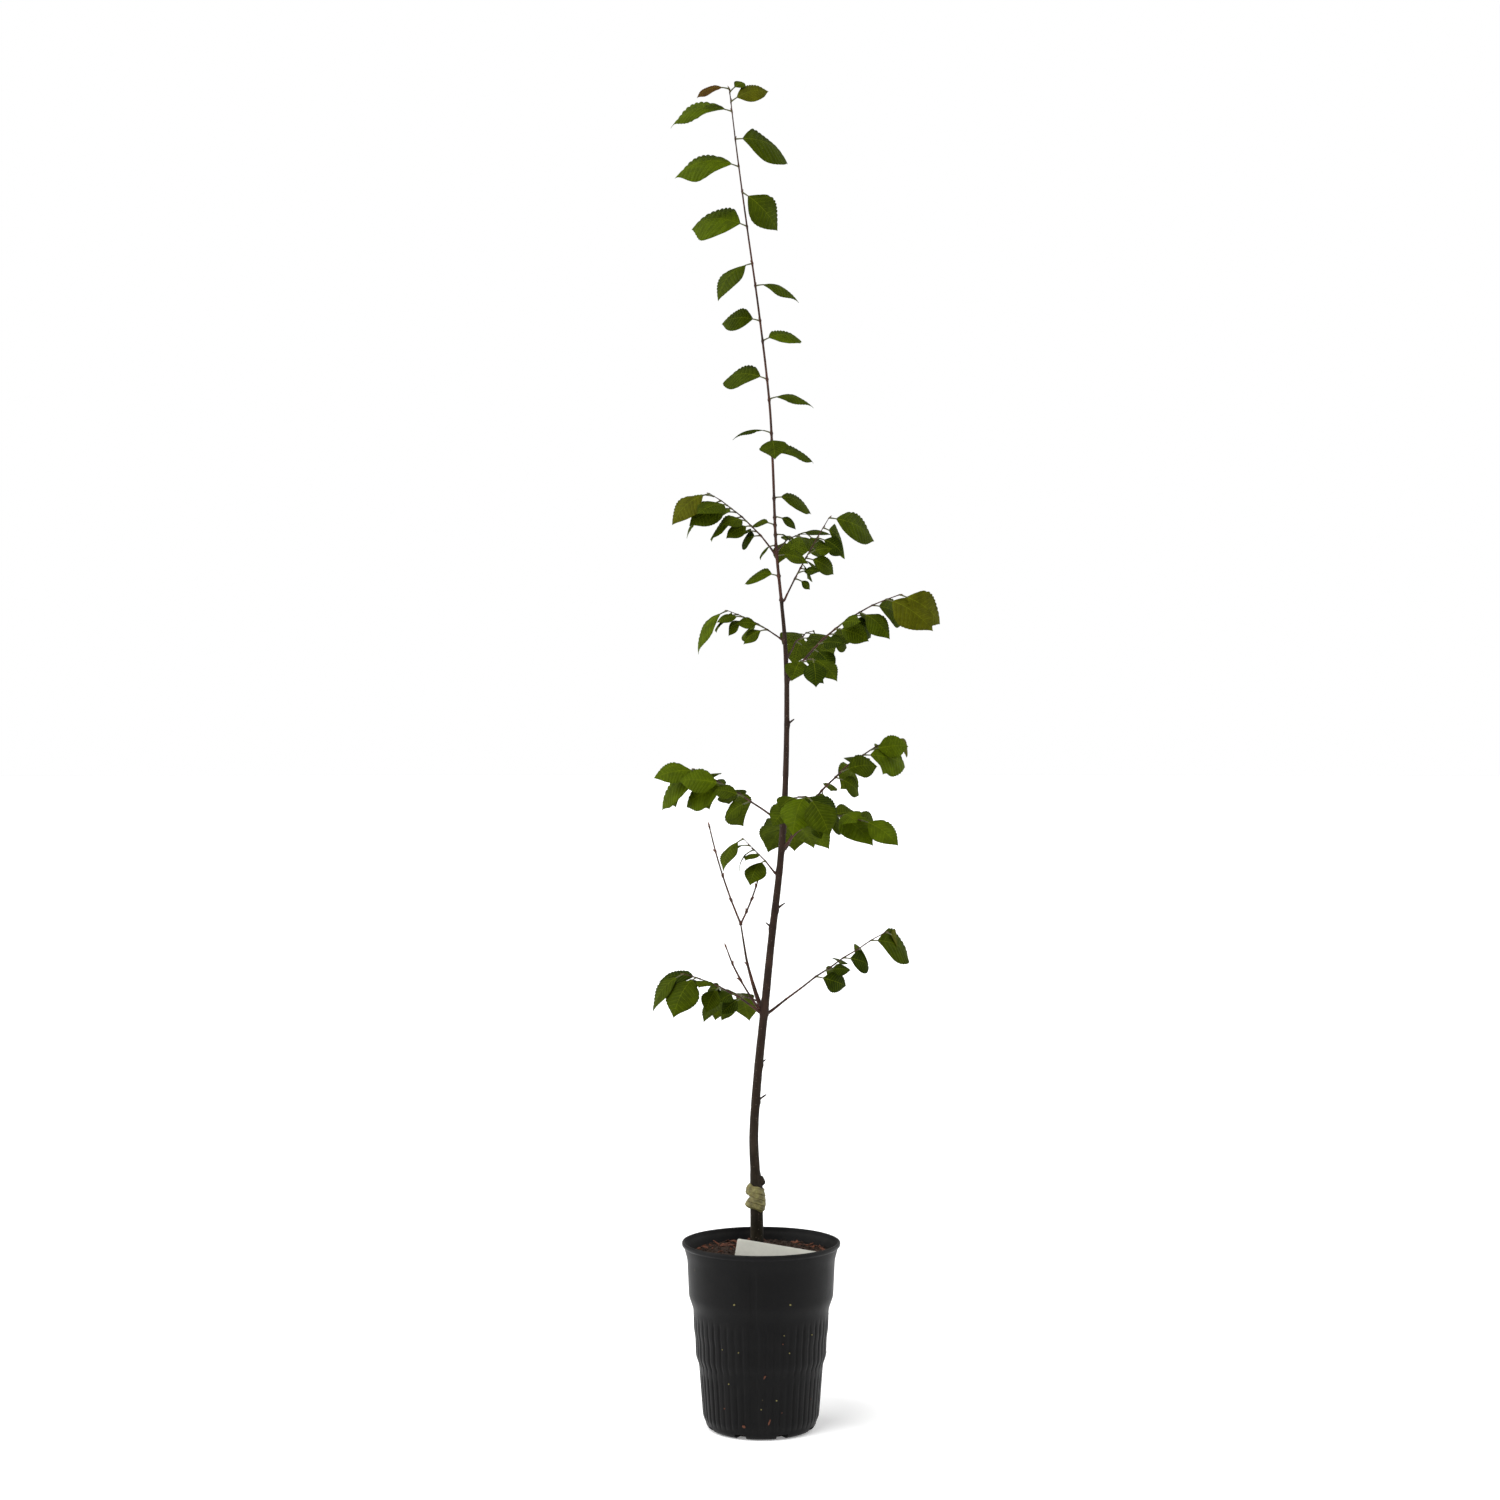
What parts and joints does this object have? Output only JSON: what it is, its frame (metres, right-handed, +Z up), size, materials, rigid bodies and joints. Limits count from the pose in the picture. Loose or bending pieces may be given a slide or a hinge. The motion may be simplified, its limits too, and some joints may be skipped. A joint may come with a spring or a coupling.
{
  "type": "potted japanese beech",
  "caption": "Slender young grafted beech with a leafy leader and tiers of short side shoots, in a deep round stepped nursery pot.",
  "frame": {"origin": "middle of the pot's flat underside, on the surface it stands on", "axes": "+Z up along the stem, +X to the right in the picture, +Y away from its camera"},
  "size_m": [0.2694, 0.2417, 1.2707],
  "materials": {
    "pot_plastic": "thin black moulded plastic, soft sheen, dusty",
    "potting_mix": "dark moist potting mix with reddish bark chips",
    "label_plastic": "off-white plastic plant label, blank",
    "graft_tape": "stretched greenish beige grafting tape",
    "bark": "smooth dark young bark with pale pores",
    "foliage": "mid green leaves with pressed veins, some tinted bronze"
  },
  "bodies": {
    "root": {"pot": "pot_plastic", "potting_mix": "potting_mix", "plant_label": "label_plastic", "graft_wrap": "graft_tape", "trunk": "bark", "bough_low_left": "bark", "bough_low_right": "bark", "bough_low_bare": "bark", "bough_low_fork": "bark", "bough_low_back": "bark", "bough_mid_right_upper": "bark", "bough_mid_back": "bark", "bough_mid_right_lower": "bark", "bough_mid_left": "bark", "bough_mid_front": "bark", "bough_high_front": "bark", "bough_high_right": "bark", "bough_high_back": "bark", "bough_high_left": "bark", "bough_top_right": "bark", "bough_top_back": "bark", "bough_top_left": "bark", "twigs_low_bare": "foliage", "twigs_low_fork": "foliage", "spray_low_left": "foliage", "spray_low_right": "foliage", "spray_low_back": "foliage", "spray_mid_low_left": "foliage", "spray_mid_right_upper": "foliage", "spray_mid_back": "foliage", "spray_mid_right_lower": "foliage", "spray_mid_left": "foliage", "spray_mid_front": "foliage", "spray_high_front": "foliage", "spray_high_right": "foliage", "spray_high_back": "foliage", "spray_high_left": "foliage", "spray_top_right": "foliage", "spray_top_back": "foliage", "spray_top_left": "foliage", "leader_middle": "foliage", "leader_top": "foliage"}
  },
  "joints": []
}
